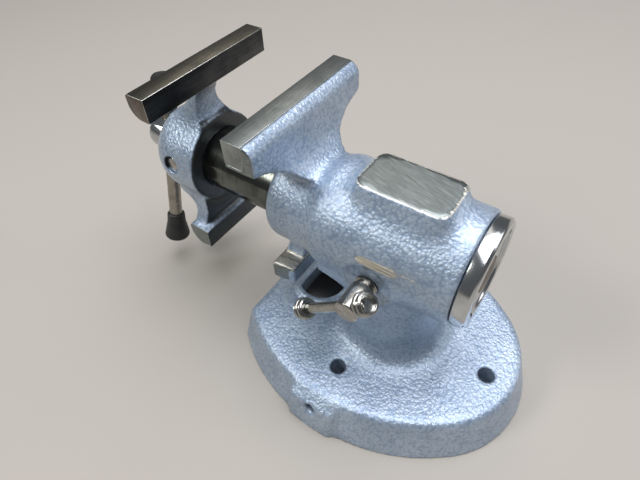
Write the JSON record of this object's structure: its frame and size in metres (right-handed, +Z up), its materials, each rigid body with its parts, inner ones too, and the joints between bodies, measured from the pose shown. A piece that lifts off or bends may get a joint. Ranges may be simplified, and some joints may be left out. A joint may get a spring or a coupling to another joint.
{
  "type": "bench vise",
  "caption": "Small bench vise: cast body on a flat-fronted oval foot, round slide with a screw-driven front jaw, upper and lower jaws, anvil pad, sliding handle and a T-bar slide lock.",
  "frame": {"origin": "middle of the oval foot, on the bench surface, midway between the two side bolt holes", "axes": "+X along the barrel towards the rear cap, +Y along the jaws, +Z up"},
  "size_m": [0.1913, 0.107, 0.1178],
  "materials": {
    "blue_paint": "blue-grey hammered enamel on cast iron",
    "ground_steel": "ground and scratched bare steel",
    "dark_steel": "dark oxidised steel with bright edges",
    "slide_steel": "turned steel with an oil film",
    "polished_steel": "turned and polished steel",
    "nickel": "bright nickel plate",
    "bronze": "turned bronze",
    "black_rubber": "satin black rubber"
  },
  "bodies": {
    "body": {"body_casting": "blue_paint", "rear_jaw_insert": "ground_steel", "rear_jaw_pins": "ground_steel", "spindle_nut": "bronze", "nut_pin": "ground_steel", "rear_cap": "polished_steel", "slide_key": "ground_steel", "key_screw": "ground_steel"},
    "moving_jaw": {"front_jaw_casting": "blue_paint", "front_jaw_insert": "dark_steel", "front_jaw_pins": "ground_steel", "slide_tube": "slide_steel", "slide_pin": "ground_steel", "thrust_washer": "bronze"},
    "screw": {"spindle": "ground_steel", "spindle_collar": "ground_steel", "collar_pin": "ground_steel"},
    "handle": {"handle_rod": "ground_steel", "handle_grip_upper": "black_rubber", "handle_grip_lower": "black_rubber"},
    "lock": {"lock_screw": "nickel"},
    "lock_bar": {"t_bar": "nickel", "t_bar_knob_left": "nickel", "t_bar_knob_right": "nickel"},
    "plug": {"lock_plug": "bronze"}
  },
  "joints": [
    {"name": "jaw_slide", "type": "slide", "parent": "body", "child": "moving_jaw", "axis": [1, 0, 0], "range_m": [-0.012, 0.0346]},
    {"name": "screw_turn", "type": "hinge", "parent": "moving_jaw", "child": "screw", "pos_m": [-0.06, 0, 0.073], "axis": [1, 0, 0], "range_deg": [-1441, 4153]},
    {"name": "handle_slide", "type": "slide", "parent": "screw", "child": "handle", "axis": [0, 0.2419, 0.9703], "range_m": [-0.0032, 0.0369]},
    {"name": "plug_draw", "type": "slide", "parent": "body", "child": "plug", "axis": [0, 1, 0], "range_m": [-0.0005, 0.0005]},
    {"name": "lock_turn", "type": "hinge", "parent": "plug", "child": "lock", "pos_m": [0.0049, -0.02, 0.0659], "axis": [0, 1, 0], "range_deg": [-145, 145]},
    {"name": "lock_bar_slide", "type": "slide", "parent": "lock", "child": "lock_bar", "axis": [0.7431, 0, 0.6691], "range_m": [0, 0.0206]}
  ],
  "couplings": [
    {"joint": "screw_turn", "follows": "jaw_slide", "rad_per_m": 2094.4},
    {"joint": "lock_turn", "follows": "plug_draw", "rad_per_m": 5026.5}
  ]
}
